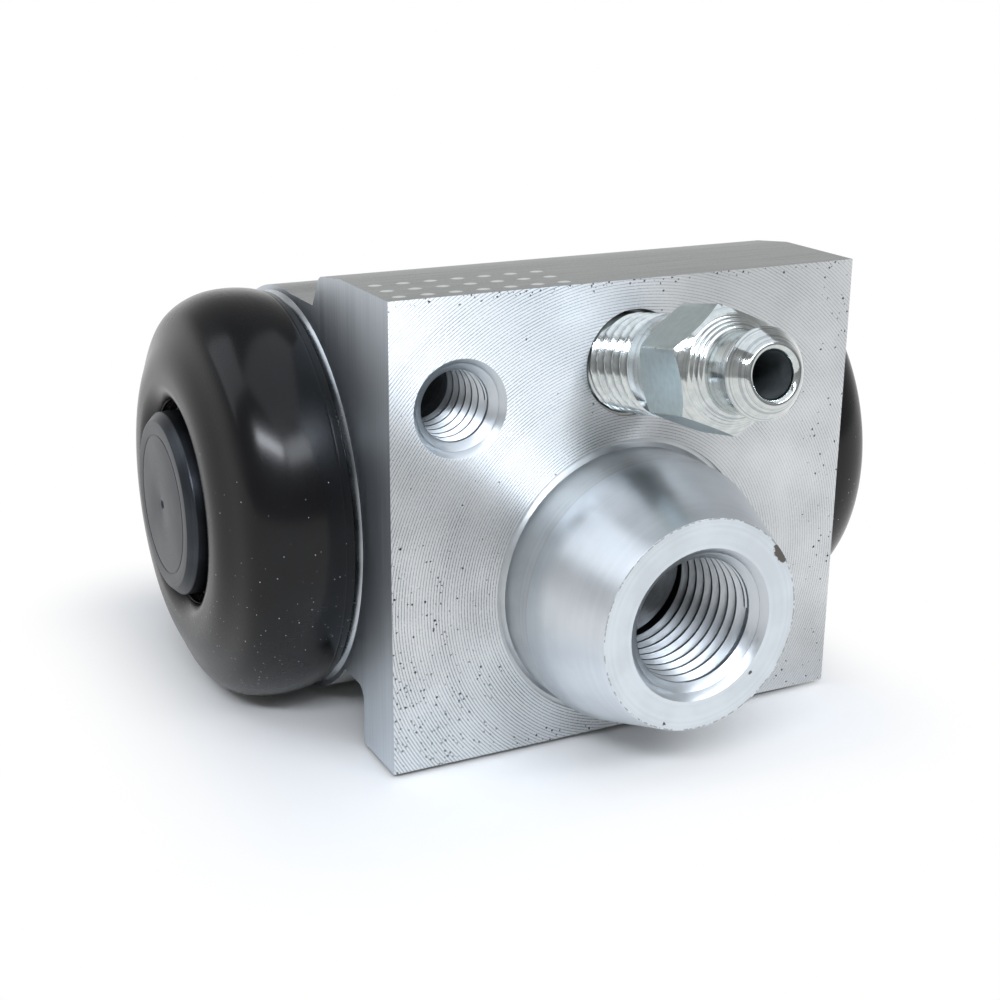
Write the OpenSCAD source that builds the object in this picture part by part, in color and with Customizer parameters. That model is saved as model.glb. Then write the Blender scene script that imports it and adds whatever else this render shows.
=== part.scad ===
// Wheel cylinder of a drum brake: two opposed pistons in one barrel, fed by one port.
// Sizes are in millimetres. The origin is where the port's axis crosses the mounting face.
// +X runs along the bore, -Y points out of the mounting face and +Z is up.

/* [Bar section] */
// Length of the block between its two sawn ends
block_len = 36.4; // [34:0.1:46]
// Thickness of the mounting plate below the notch
plate_t = 5.4; // [4:0.1:7]
// Height of the plate's lower lip, from the underside to the top of the notch
lip_h = 4.35; // [3:0.05:6]
// Height of the plate's underside above the underside of the barrel
lip_lift = 0.35; // [0:0.05:1]
// Radius in the inner corner of the notch
notch_r = 1.0; // [0.4:0.1:1.6]
// Height of the head above the top of the barrel
head_rise = 2.7; // [2.2:0.1:5]
// Depth of the head from the mounting face to the foot of its step
head_depth = 13.6; // [12:0.1:15]
// Flat part of the head's top, measured from the mounting face
crown_flat = 8.0; // [5:0.1:9]
// How far the crowned top falls towards its back edge
crown_fall = 0.45; // [0.1:0.05:0.7]
// Radius of the head's back edge
head_edge_r = 1.0; // [0.4:0.1:1.2]
// How far the head's step leans back below that edge
head_lean = 2.0; // [1.4:0.1:3]

/* [Barrel] */
// Diameter of the bore
bore_d = 20.64; // [17:0.01:24]
// Metal between the mounting face and the bore
bore_cover = 9.7; // [8.5:0.1:12]
// Height of the bore's axis above the port's axis
bore_z = 3.5; // [2:0.1:5]
// Wall of the barrel around the bore
barrel_wall = 5.1; // [4.6:0.1:7]
// Bevel at the two mouths of the bore
bore_bevel = 0.4; // [0.1:0.1:0.8]
// Wall of the turned spigot that holds a boot
spigot_wall = 2.9; // [2.4:0.1:3.5]
// Height of the turned collar at the spigot's root
collar_h = 0.45; // [0.2:0.05:0.6]
// Width of the collar's face around the spigot
collar_w = 1.35; // [1:0.05:1.6]
// Land between the collar and the groove for the boot's bead
groove_start = 0.55; // [0.3:0.05:1]
// Depth of that groove
groove_depth = 0.9; // [0.4:0.1:1.2]
// Width of that groove
groove_w = 1.5; // [0.8:0.1:2.5]
// Land between the groove and the end of the spigot
groove_land = 0.7; // [0.4:0.1:1.2]

/* [Inlet boss] */
// Diameter of the locating register at the foot of the boss
boss_d = 19.5; // [17:0.1:22]
// Height of that register
boss_register = 3.2; // [2:0.1:5]
// Full height of the boss
boss_h = 9.8; // [8:0.1:13]
// Diameter of the boss at its front ring
boss_tip_d = 15.1; // [13:0.1:17]
// Width of the relief turned around the register
relief_w = 0.6; // [0.3:0.1:1]
// Depth of that relief
relief_depth = 0.3; // [0.1:0.1:0.6]
// Nominal thread diameter of the port
port_d = 10.0; // [8:0.1:11]
// Depth of the port from the front ring
port_depth = 10.8; // [8:0.1:13]
// Bevel at the mouth of the port
port_bevel = 0.46; // [0.2:0.02:0.8]
// Diameter of the passage from the port to the bore
passage_d = 3.2; // [2:0.1:4]

/* [Bolt hole] */
// Nominal thread diameter of the mounting bolt
bolt_d = 6.0; // [5:0.1:7]
// Depth of its thread
bolt_depth = 9.2; // [7:0.1:9.4]
// Distance of the hole from the left sawn end
bolt_edge = 5.1; // [4.6:0.1:8]
// Distance of the hole from the top of the block
bolt_drop = 7.6; // [6.5:0.1:9]
// Bevel at the hole's mouth
bolt_bevel = 0.42; // [0.2:0.02:0.6]

/* [Bleed screw] */
// Nominal thread diameter
bleed_d = 7.0; // [6:0.1:7.4]
// Distance from the top of the block to the screw's axis at the face
bleed_drop = 5.8; // [5:0.1:6.5]
// Upward tilt of the screw
bleed_tilt = 10; // [4:0.5:12]
// Depth of the threaded hole
bleed_depth = 9.6; // [8:0.1:11]
// Depth of the clearance turned in the mouth of that hole
bleed_mouth_depth = 0.8; // [0.4:0.1:1.5]
// Radial width of that clearance
bleed_mouth_w = 0.2; // [0.1:0.05:0.4]
// Diameter of the passage from the screw's seat to the bore
bleed_passage_d = 2.2; // [1.4:0.1:3]
// Length of the shank that stands out of the face, up to the hexagon
bleed_proud = 6.9; // [5.5:0.1:9]
// Width across the flats of the hexagon
hex_af = 7.4; // [7.1:0.1:9]
// Height of the hexagon with both its bevels
hex_h = 5.05; // [4:0.05:7]
// Height of the bevel under the hexagon
hex_under = 0.6; // [0.3:0.05:1]
// Height of the bevel on top of the hexagon
hex_over = 0.6; // [0.3:0.05:1]
// Diameter at which that bevel ends and the turned cone begins
hex_face_d = 7.0; // [6.2:0.1:7.1]
// Height of the turned cone between the hexagon and the neck
hex_cone_h = 0.9; // [0.4:0.05:1.5]
// Angle of the hexagon about the screw's axis
hex_turn = 36; // [0:1:59]
// Diameter of the turned neck of the hose nipple
neck_d = 5.3; // [5:0.1:5.6]
// Length of that neck
neck_h = 2.5; // [1.5:0.1:4]
// Largest diameter of the nipple's barb
barb_d = 5.9; // [5.7:0.1:6.6]
// Length of the barb from its shoulder to the tip
barb_h = 1.15; // [0.8:0.05:2]
// Diameter of the tip
tip_d = 4.4; // [4:0.1:5]
// Bevel around the tip and around the mouth of its drilling
tip_bevel = 0.25; // [0.1:0.05:0.3]
// Diameter of the drilling along the screw
drilling_d = 2.9; // [2:0.1:3.2]
// Diameter of the cross drilling near the seat
cross_d = 1.6; // [1:0.1:2]

/* [Pistons] */
// Distance of a piston's outer face from the sawn end of the block
piston_proud = 9.85; // [8.5:0.05:12]
// Diameter of the outer end
piston_end_d = 13.7; // [12:0.1:15]
// Thickness of the outer end
piston_end_t = 2.7; // [1.5:0.1:3]
// Bevel around the outer end
piston_bevel = 0.6; // [0.1:0.05:0.8]
// Diameter of the neck that holds the boot's lip
piston_neck_d = 11.2; // [9:0.1:11.6]
// Length of that neck
piston_neck_len = 4.0; // [3.2:0.1:5]
// Length of the piston's head in the bore
piston_head_len = 9.2; // [7:0.1:10]
// Diameter of the centre mark left by turning
centre_mark_d = 0.7; // [0.4:0.1:1.2]

/* [Cups, expanders and spring] */
// Length of a cup seal from heel to lip
cup_len = 4.8; // [3.8:0.1:5.5]
// Thickness of the cup's floor
cup_floor = 2.0; // [1.5:0.1:2.5]
// Thickness of the lip at its edge
cup_lip_t = 1.2; // [0.8:0.1:1.6]
// How much thicker the lip is at its root
cup_draft = 0.8; // [0.4:0.1:1.2]
// Thickness of the expander's pressed steel
expander_t = 0.6; // [0.4:0.1:0.8]
// Height of the expander's hub inside the spring
hub_h = 1.4; // [0.8:0.1:2]
// Diameter of the spring's wire
wire_d = 1.0; // [0.7:0.1:1.2]
// Radial room between the spring's coils and the rim of the expander
coil_room = 1.65; // [0.6:0.05:2.5]
// Radial room between the expander's hub and the spring's coils
hub_room = 0.2; // [0.1:0.05:0.5]
// Working turns between the two closed end turns
coil_turns = 5; // [4:0.5:6]

/* [Boots] */
// Thickness of the skirt around the spigot
skirt_t = 2.2; // [1.9:0.1:2.6]
// How far the skirt draws in at its edge
skirt_draw = 0.45; // [0.1:0.05:0.8]
// How much thinner the wall over the shoulder is than the skirt
wall_relief = 0.5; // [0.2:0.1:0.9]
// How far the boot's nose lies behind the piston's outer face
nose_back = 0.75; // [0.1:0.05:1.2]
// Gap between the piston's outer end and the boot's mouth
mouth_gap = 1.3; // [0.8:0.1:1.6]
// Squareness of the shoulder's curve, where 2 is a plain ellipse
shoulder_square = 2.3; // [2:0.05:2.6]
// Depth of the soft valley around the shoulder
valley_depth = 0.25; // [0:0.05:0.5]
// Place of that valley around the shoulder's curve, in degrees from the skirt
valley_at = 62; // [50:1:66]
// Reach of the valley along that curve, in degrees to each side
valley_reach = 24; // [10:1:24]
// Radial rounding of the mouth's rim
rim_round = 0.85; // [0.4:0.05:1.2]
// Axial rounding of that rim
rim_depth = 0.5; // [0.3:0.05:0.9]
// Wall of the sleeve inside the mouth
sleeve_wall = 1.5; // [1:0.1:2]
// Width of the lip in the piston's neck
lip_w = 1.9; // [1.2:0.1:2.2]

/* [Fits] */
// Radial gap of a piston in the bore
piston_gap = 0.03; // [0.01:0.01:0.1]
// Radial gap of a cup's lip in the bore
cup_gap = 0.02; // [0.01:0.01:0.1]
// Radial gap of a cup's heel in the bore
heel_gap = 0.2; // [0.1:0.05:0.4]
// Radial gap between the bleed screw and its hole
thread_gap = 0.05; // [0.02:0.01:0.1]
// Gap at the seats of the spring, the expanders, the boots and the bleed screw
seat_gap = 0.05; // [0.02:0.01:0.1]
// Gap between a boot's edge and the collar
edge_gap = 0.12; // [0.05:0.01:0.3]
// Gap between a boot's lip and the piston's outer end
lip_gap = 0.2; // [0.1:0.05:0.3]

/* [Hidden] */
$fn = 96;
LEFT = -1;
RIGHT = 1;

// How far joined solids run into each other, and how far cutters run past a surface
overlap = 1.0;
// Steps in a drawn arc
arc_steps = 12;
// A quarter turn in degrees
quarter = 90;
// Half the tip angle of a twist drill
drill_half_angle = 59;
// Depth by which the shelf behind the head lies below the top of the barrel
shelf_drop = 0.1;

half_len = block_len / 2;
bore_r = bore_d / 2;
bore_y = bore_r + bore_cover;
barrel_r = bore_r + barrel_wall;
top_z = bore_z + barrel_r + head_rise;
bottom_z = bore_z - barrel_r + lip_lift;
shelf_z = bore_z + barrel_r - shelf_drop;
notch_z = bottom_z + lip_h;

spigot_r = bore_r + spigot_wall;
collar_r = spigot_r + collar_w;
collar_end = half_len + collar_h;
groove_r = spigot_r - groove_depth;
groove_in = collar_end + groove_start;
groove_out = groove_in + groove_w;
spigot_end = groove_out + groove_land;

bolt_x = bolt_edge - half_len;
bolt_z = top_z - bolt_drop;
bleed_z = top_z - bleed_drop;

screw_r = bleed_d / 2 - thread_gap;
hex_corner_r = hex_af / 2 / cos(30);
hex_base = bleed_proud;
hex_top = hex_base + hex_h;
neck_base = hex_top + hex_cone_h;
barb_base = neck_base + neck_h;
tip_s = barb_base + barb_h;

piston_r = bore_r - piston_gap;
piston_end = half_len + piston_proud;
piston_end_r = piston_end_d / 2;
disc_back = piston_end - piston_end_t;
head_out = disc_back - piston_neck_len;
head_in = head_out - piston_head_len;

cup_lip_r = bore_r - cup_gap;
cup_well_r = cup_lip_r - cup_lip_t - cup_draft;
dish_r = cup_well_r - seat_gap;
coil_r = dish_r - expander_t - coil_room - wire_d / 2;
spring_seat = head_in - cup_floor - expander_t;
spring_len = 2 * (spring_seat - seat_gap);

boot_r = spigot_r + skirt_t;
boot_wall = skirt_t - wall_relief;
boot_start = collar_end + edge_gap;
shoulder_x = spigot_end + seat_gap;
nose_x = piston_end - nose_back;
mouth_r = piston_end_r + mouth_gap;
nose_r = mouth_r + rim_round;
sleeve_r = mouth_r + sleeve_wall;
lip_out = disc_back - lip_gap;
lip_in = lip_out - lip_w;

// Points of an elliptical arc about a centre, from one angle to another
function arc(centre, a, b, from, to) = [
    for (i = [0 : arc_steps])
        let (t = from + (to - from) * i / arc_steps)
        centre + [a * cos(t), b * sin(t)]
];

// Full curve from the skirt to the nose, pressed in along a soft valley
function shoulder(centre, a, b) = [
    for (i = [0 : 2 * arc_steps])
        let (
            t = quarter * i / (2 * arc_steps),
            off = min(1, abs(t - valley_at) / valley_reach),
            dip = valley_depth * pow(cos(quarter * off), 2),
            power = 2 / shoulder_square
        )
        centre + [(a - dip) * pow(cos(t), power), (b - dip) * pow(sin(t), power)]
];

// Angle on a circle where a line from a point outside it touches it, on the side that turn gives
function tangent_angle(centre, r, point, turn) =
    let (away = point - centre)
    atan2(away[1], away[0]) + turn * acos(r / norm(away));

// Length of the cone that a twist drill leaves between two radii
function drill_cone(r_wide, r_narrow) = (r_wide - r_narrow) / tan(drill_half_angle);

// Puts a turned piece on the bore's axis, drawn along +Z from the middle of the block outwards
module on_bore(side) {
    translate([0, bore_y, bore_z])
        mirror([side == LEFT ? 1 : 0, 0, 0])
            rotate([0, 90, 0])
                children();
}

// Points +Z out of the mounting face, at a place on that face
module out_of_face(x, z, tilt = 0) {
    translate([x, 0, z])
        rotate([90 - tilt, 0, 0])
            children();
}

// Section of the bar in front of the barrel, drawn as depth and height, and run along the bore
module bar_front() {
    head_edge = [head_depth - head_lean, top_z - crown_fall - head_edge_r];
    notch_centre = [plate_t + notch_r, notch_z - notch_r];
    crown_end = [crown_flat, top_z];
    step_foot = [head_depth, shelf_z];
    crown_normal = tangent_angle(head_edge, head_edge_r, crown_end, -1);
    step_normal = tangent_angle(head_edge, head_edge_r, step_foot, 1);
    translate([-half_len, 0, 0])
        rotate([90, 0, 90])
            linear_extrude(block_len)
                polygon(concat(
                    [[0, bottom_z], [0, top_z], crown_end],
                    arc(head_edge, head_edge_r, head_edge_r, crown_normal, step_normal),
                    [step_foot, [bore_y, shelf_z], [bore_y, notch_z]],
                    arc(notch_centre, notch_r, notch_r, 90, 180),
                    [[plate_t, bottom_z]]
                ));
}

// The bar: its front section and the barrel behind it
module bar() {
    bar_front();
    translate([-half_len, bore_y, bore_z])
        rotate([0, 90, 0])
            cylinder(h = block_len, r = barrel_r);
}

// Turned end of the barrel: collar, spigot and the groove for the boot's bead
module boot_spigot() {
    rotate_extrude()
        polygon([
            [0, half_len - overlap], [collar_r + collar_h, half_len - overlap],
            [collar_r + collar_h, half_len], [collar_r, collar_end],
            [spigot_r, collar_end], [spigot_r, groove_in],
            [groove_r, groove_in], [groove_r, groove_out],
            [spigot_r, groove_out], [spigot_r, spigot_end - bore_bevel],
            [spigot_r - bore_bevel, spigot_end], [0, spigot_end]
        ]);
}

// Boss around the port: a bevelled foot, a cylindrical register and a cone up to the front ring
module inlet_boss() {
    out_of_face(0, 0) {
        translate([0, 0, -overlap])
            cylinder(h = overlap + boss_register, d = boss_d);
        translate([0, 0, -relief_depth])
            cylinder(h = relief_depth, d1 = boss_d + 2 * relief_depth, d2 = boss_d);
        translate([0, 0, boss_register])
            cylinder(h = boss_h - boss_register, d1 = boss_d, d2 = boss_tip_d);
    }
}

// Bore with a bevel at each mouth
module bore_cut() {
    on_bore(RIGHT)
        translate([0, 0, -spigot_end - overlap])
            cylinder(h = 2 * (spigot_end + overlap), r = bore_r);
    for (side = [LEFT, RIGHT])
        on_bore(side)
            translate([0, 0, spigot_end - bore_bevel])
                cylinder(h = bore_bevel + overlap, r1 = bore_r, r2 = bore_r + bore_bevel + overlap);
}

// Tapped hole along -Z from its mouth, with a bevelled mouth and a drilled cone down to a passage
module tapped_hole(d, depth, bevel, end_r) {
    translate([0, 0, -depth])
        cylinder(h = depth + overlap, d = d);
    translate([0, 0, -bevel])
        cylinder(h = bevel + overlap, r1 = d / 2, r2 = d / 2 + bevel + overlap);
    translate([0, 0, -depth - drill_cone(d / 2, end_r)])
        cylinder(h = drill_cone(d / 2, end_r), r1 = end_r, r2 = d / 2);
}

// Port for the brake pipe, with its passage into the bore
module port_cut() {
    out_of_face(0, 0) {
        translate([0, 0, boss_h])
            tapped_hole(port_d, port_depth, port_bevel, passage_d / 2);
        translate([0, 0, -bore_y])
            cylinder(h = bore_y + boss_h - port_depth, d = passage_d);
    }
}

// Blind tapped hole for the mounting bolt
module bolt_cut() {
    out_of_face(bolt_x, bolt_z)
        tapped_hole(bolt_d, bolt_depth, bolt_bevel, 0);
}

// Tilted hole for the bleed screw, with its seat and its passage into the bore
module bleed_cut() {
    seat_h = bleed_d / 2 - bleed_passage_d / 2;
    out_of_face(0, bleed_z, bleed_tilt) {
        translate([0, 0, -bleed_depth])
            cylinder(h = bleed_depth + overlap, d = bleed_d);
        translate([0, 0, -bleed_mouth_depth])
            cylinder(h = bleed_mouth_depth + overlap, d = bleed_d + 2 * bleed_mouth_w);
        translate([0, 0, -bleed_depth - seat_h])
            cylinder(h = seat_h, d1 = bleed_passage_d, d2 = bleed_d);
        translate([0, 0, -bore_y])
            cylinder(h = bore_y - bleed_depth, d = bleed_passage_d);
    }
}

// Aluminium body machined from the bar
module cylinder_body() {
    color("#c9cccf")
        difference() {
            union() {
                difference() {
                    bar();
                    out_of_face(0, 0)
                        translate([0, 0, -relief_depth])
                            cylinder(h = relief_depth + overlap, d = boss_d + 2 * relief_w);
                }
                inlet_boss();
                on_bore(LEFT) boot_spigot();
                on_bore(RIGHT) boot_spigot();
            }
            bore_cut();
            port_cut();
            bolt_cut();
            bleed_cut();
        }
}

// Moulded rubber boot: bead and skirt on the spigot, rounded shoulder, sleeve and lip on the piston
module boot(side) {
    skirt_in = spigot_r + seat_gap;
    bead_in = groove_r + seat_gap;
    shoulder_in = boot_r - boot_wall;
    inner_a = nose_x - boot_wall - shoulder_x;
    inner_b = shoulder_in - nose_r;
    inner_stop = acos((sleeve_r - nose_r) / inner_b);
    lip_r = piston_neck_d / 2 + seat_gap;
    color("#1c1d20")
        on_bore(side)
            rotate_extrude()
                polygon(concat(
                    [for (i = [0 : arc_steps])
                        let (u = i / arc_steps)
                        [boot_r - skirt_draw * pow(1 - u, 2), boot_start + u * (shoulder_x - boot_start)]],
                    shoulder([nose_r, shoulder_x], boot_r - nose_r, nose_x - shoulder_x),
                    arc([nose_r, nose_x - rim_depth], -rim_round, rim_depth, 90, 0),
                    [[mouth_r, lip_out], [lip_r, lip_out], [lip_r, lip_in], [sleeve_r, lip_in]],
                    arc([nose_r, shoulder_x], inner_b, inner_a, inner_stop, 0),
                    [[skirt_in, shoulder_x], [skirt_in, groove_out - seat_gap]],
                    [[bead_in, groove_out - seat_gap], [bead_in, groove_in + seat_gap]],
                    [[skirt_in, groove_in + seat_gap], [skirt_in, boot_start]]
                ));
}

// Turned piston: head in the bore, neck for the boot's lip and a bevelled outer end
module piston(side) {
    color("#5b5c61")
        on_bore(side)
            difference() {
                union() {
                    translate([0, 0, head_in])
                        cylinder(h = piston_head_len, r = piston_r);
                    translate([0, 0, head_out - overlap])
                        cylinder(h = piston_neck_len + 2 * overlap, d = piston_neck_d);
                    translate([0, 0, disc_back])
                        cylinder(h = piston_end_t - piston_bevel, r = piston_end_r);
                    translate([0, 0, piston_end - piston_bevel])
                        cylinder(h = piston_bevel, r1 = piston_end_r, r2 = piston_end_r - piston_bevel);
                }
                translate([0, 0, piston_end - centre_mark_d / 2])
                    cylinder(h = centre_mark_d, r1 = 0, r2 = centre_mark_d);
            }
}

// Rubber cup seal with its heel on the piston and its lip towards the fluid
module cup(side) {
    color("#26262a")
        on_bore(side)
            rotate_extrude()
                polygon([
                    [0, head_in], [bore_r - heel_gap, head_in],
                    [cup_lip_r, head_in - cup_len], [cup_lip_r - cup_lip_t, head_in - cup_len],
                    [cup_well_r, head_in - cup_floor], [0, head_in - cup_floor]
                ]);
}

// Pressed steel expander: a dished plate in the cup's well, with a hub that centres the spring
module expander(side) {
    rim_r = dish_r + cup_draft / 2;
    rim_x = head_in - (cup_floor + cup_len) / 2;
    hub_r = coil_r - wire_d / 2 - hub_room;
    color("#b9b7ae")
        on_bore(side)
            rotate_extrude()
                polygon([
                    [0, head_in - cup_floor], [dish_r, head_in - cup_floor],
                    [rim_r, rim_x], [rim_r - expander_t, rim_x],
                    [dish_r - expander_t, spring_seat], [hub_r, spring_seat],
                    [hub_r - expander_t, spring_seat - hub_h], [0, spring_seat - hub_h]
                ]);
}

// Compression spring between the two expanders, with a closed turn at each end
module return_spring() {
    // Sides of the wire's section, and sections in a turn
    sides = 8;
    steps = 24;
    turns = coil_turns + 2;
    closed_pitch = wire_d + 2 * seat_gap;
    open_pitch = (spring_len - wire_d - 2 * closed_pitch) / coil_turns;
    rings = round(steps * turns);
    function rise(t) = t < 1 ? t * closed_pitch
        : t < turns - 1 ? closed_pitch + (t - 1) * open_pitch
        : closed_pitch + coil_turns * open_pitch + (t - turns + 1) * closed_pitch;
    function ring_point(i, j) =
        let (
            around = 360 * i / steps,
            across = 360 * j / sides,
            reach = coil_r + wire_d / 2 * cos(across)
        )
        [
            reach * cos(around), reach * sin(around),
            rise(i / steps) - (spring_len - wire_d) / 2 + wire_d / 2 * sin(across)
        ];
    points = [for (i = [0 : rings], j = [0 : sides - 1]) ring_point(i, j)];
    walls = [
        for (i = [0 : rings - 1], j = [0 : sides - 1])
            let (k = (j + 1) % sides)
            [i * sides + j, i * sides + k, (i + 1) * sides + k, (i + 1) * sides + j]
    ];
    first_cap = [[for (j = [sides - 1 : -1 : 0]) j]];
    last_cap = [[for (j = [0 : sides - 1]) rings * sides + j]];
    color("#8e9196")
        on_bore(RIGHT)
            polyhedron(points, concat(walls, first_cap, last_cap));
}

// Plated steel bleed screw: seat cone, shank, bevelled hexagon and barbed hose nipple
module bleed_screw() {
    drilling_r = drilling_d / 2;
    neck_r = neck_d / 2;
    cone_h = screw_r - drilling_r;
    cone_s = seat_gap - bleed_depth;
    cross_s = cone_s + cross_d;
    color("#b4bab8")
        out_of_face(0, bleed_z, bleed_tilt)
            difference() {
                union() {
                    translate([0, 0, cone_s - cone_h])
                        cylinder(h = cone_h, r1 = screw_r - cone_h, r2 = screw_r);
                    translate([0, 0, cone_s])
                        cylinder(h = hex_base + overlap - cone_s, r = screw_r);
                    intersection() {
                        rotate(hex_turn)
                            translate([0, 0, hex_base])
                                cylinder(h = hex_h, r = hex_corner_r, $fn = 6);
                        rotate_extrude()
                            polygon([
                                [0, hex_base], [screw_r, hex_base],
                                [hex_corner_r, hex_base + hex_under], [hex_corner_r, hex_top - hex_over],
                                [hex_face_d / 2, hex_top], [0, hex_top]
                            ]);
                    }
                    rotate_extrude()
                        polygon([
                            [0, hex_top - overlap], [neck_r, hex_top - overlap], [neck_r, hex_top],
                            [hex_face_d / 2, hex_top], [neck_r, neck_base], [neck_r, barb_base],
                            [barb_d / 2, barb_base], [tip_d / 2, tip_s - tip_bevel],
                            [tip_d / 2 - tip_bevel, tip_s], [0, tip_s]
                        ]);
                }
                translate([0, 0, cross_s])
                    cylinder(h = tip_s - cross_s + overlap, r = drilling_r);
                translate([0, 0, tip_s - tip_bevel])
                    cylinder(h = tip_bevel + overlap, r1 = drilling_r, r2 = drilling_r + tip_bevel + overlap);
                translate([0, 0, cross_s])
                    rotate([90, 0, 0])
                        cylinder(h = 2 * bleed_d, d = cross_d, center = true);
            }
}

cylinder_body();
boot(LEFT);  // left_boot
boot(RIGHT);  // right_boot
piston(LEFT);  // left_piston
piston(RIGHT);  // right_piston
cup(LEFT);  // left_cup
cup(RIGHT);  // right_cup
expander(LEFT);  // left_expander
expander(RIGHT);  // right_expander
return_spring();
bleed_screw();
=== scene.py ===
"""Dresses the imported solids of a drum-brake wheel cylinder.

Lengths in the classes are millimetres in the part's own frame: +X along the bore, -Y out of the
mounting face, +Z up. Meshes are scaled to metres as they are made.
"""

import logging
import math
from collections.abc import Callable, Sequence
from dataclasses import dataclass
from enum import Enum

import bmesh
import bpy
from mathutils import Matrix, Vector


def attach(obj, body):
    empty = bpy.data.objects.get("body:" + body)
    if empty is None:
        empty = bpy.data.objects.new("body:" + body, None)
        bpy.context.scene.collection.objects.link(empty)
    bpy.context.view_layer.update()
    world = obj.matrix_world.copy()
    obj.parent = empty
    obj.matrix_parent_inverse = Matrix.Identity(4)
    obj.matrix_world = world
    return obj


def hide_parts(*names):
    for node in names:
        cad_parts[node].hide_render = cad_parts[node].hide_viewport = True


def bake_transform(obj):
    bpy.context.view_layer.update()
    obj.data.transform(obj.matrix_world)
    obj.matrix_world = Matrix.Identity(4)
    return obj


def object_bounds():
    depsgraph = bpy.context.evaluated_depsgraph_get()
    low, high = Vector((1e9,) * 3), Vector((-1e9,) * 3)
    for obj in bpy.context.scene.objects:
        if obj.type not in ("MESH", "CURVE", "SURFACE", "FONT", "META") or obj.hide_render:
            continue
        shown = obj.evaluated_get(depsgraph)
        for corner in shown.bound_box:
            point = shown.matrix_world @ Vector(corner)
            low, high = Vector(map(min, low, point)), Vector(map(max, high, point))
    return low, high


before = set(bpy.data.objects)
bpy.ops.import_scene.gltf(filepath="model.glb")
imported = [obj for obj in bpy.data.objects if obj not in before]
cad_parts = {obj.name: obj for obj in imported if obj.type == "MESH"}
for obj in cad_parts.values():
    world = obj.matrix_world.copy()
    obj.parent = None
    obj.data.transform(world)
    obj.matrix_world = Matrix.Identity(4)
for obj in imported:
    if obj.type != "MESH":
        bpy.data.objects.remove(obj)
CAD_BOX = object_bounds()

LOG = logging.getLogger("wheel_cylinder")
MM = 0.001
TAU = 2 * math.pi
# An axis is its direction and a point of it.
ABOUT_PORT = ((0.0, 1.0, 0.0), (0.0, 0.0, 0.0))
METAL = {"Metallic": 1.0}
# Values between which most of a noise pattern lies.
NOISE_SPAN = (0.3, 0.7)
# Property that holds a node's mode, for the kinds of node that have one.
MODES = {
    "Math": "operation", "VectorMath": "operation", "MapRange": "interpolation_type",
    "Mapping": "vector_type", "Mix": "data_type",
}

Point = tuple[float, float]
Triple = tuple[float, float, float]
Socket = bpy.types.NodeSocket
Tree = bpy.types.NodeTree


class Side(Enum):
    """End of the cylinder, as the sign of its X."""

    LEFT = -1
    RIGHT = 1

    @property
    def word(self) -> str:
        """Name of this side, as the nodes have it."""
        return self.name.lower()

    @property
    def piston_body(self) -> str:
        """Body that moves with this side's piston."""
        return f"{self.word}_piston_set"


def linear(hex_colour: str) -> tuple[float, float, float, float]:
    """Turns an sRGB hex colour into linear RGBA.

    Args:
        hex_colour: six hex digits after a hash sign.

    Returns:
        Linear red, green, blue and an alpha of 1.
    """
    parts = [int(hex_colour[i:i + 2], 16) / 255 for i in (1, 3, 5)]
    return (*(c / 12.92 if c <= 0.04045 else ((c + 0.055) / 1.055) ** 2.4 for c in parts), 1.0)


def add(tree: Tree, kind: str, inputs: Sequence | dict = (), out: int | str = 0) -> Socket | None:
    """Adds one node with its settings and links.

    Args:
        tree: node tree that gets the node.
        kind: Blender's name for the node type, after the word ShaderNode, and its mode after a space.
        inputs: values, hex colours or output sockets, in order or by the input's name or number.
        out: name or number of the output that is wanted.

    Returns:
        That output, or None for a node without outputs.
    """
    kind, _, mode = kind.partition(" ")
    node = tree.nodes.new("ShaderNode" + kind)
    if mode:
        setattr(node, MODES[kind], mode)
    for name, value in (inputs if isinstance(inputs, dict) else dict(enumerate(inputs))).items():
        if isinstance(value, Socket):
            tree.links.new(value, node.inputs[name])
        else:
            node.inputs[name].default_value = linear(value) if isinstance(value, str) else value
    return node.outputs[out] if node.outputs else None


# Finishes


def spot_mm(tree: Tree) -> Socket:
    """Position on the piece in millimetres."""
    spot = add(tree, "TexCoord", out="Object")
    return add(tree, "VectorMath SCALE", {0: spot, "Scale": 1 / MM})


def around(tree: Tree, where: Socket, axis: Triple, through: Triple) -> tuple[Socket, Socket, Socket]:
    """Place of a spot about an axis.

    Args:
        tree: the material's nodes.
        where: position in millimetres.
        axis: direction of the axis, of length 1.
        through: a point of the axis.

    Returns:
        Offset from the axis, its length, and the distance along the axis.
    """
    away = add(tree, "VectorMath SUBTRACT", [where, through])
    along = add(tree, "VectorMath PROJECT", [away, axis])
    offset = add(tree, "VectorMath SUBTRACT", [away, along])
    radius = add(tree, "VectorMath LENGTH", [offset], "Value")
    return offset, radius, add(tree, "VectorMath DOT_PRODUCT", [away, axis], "Value")


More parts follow.
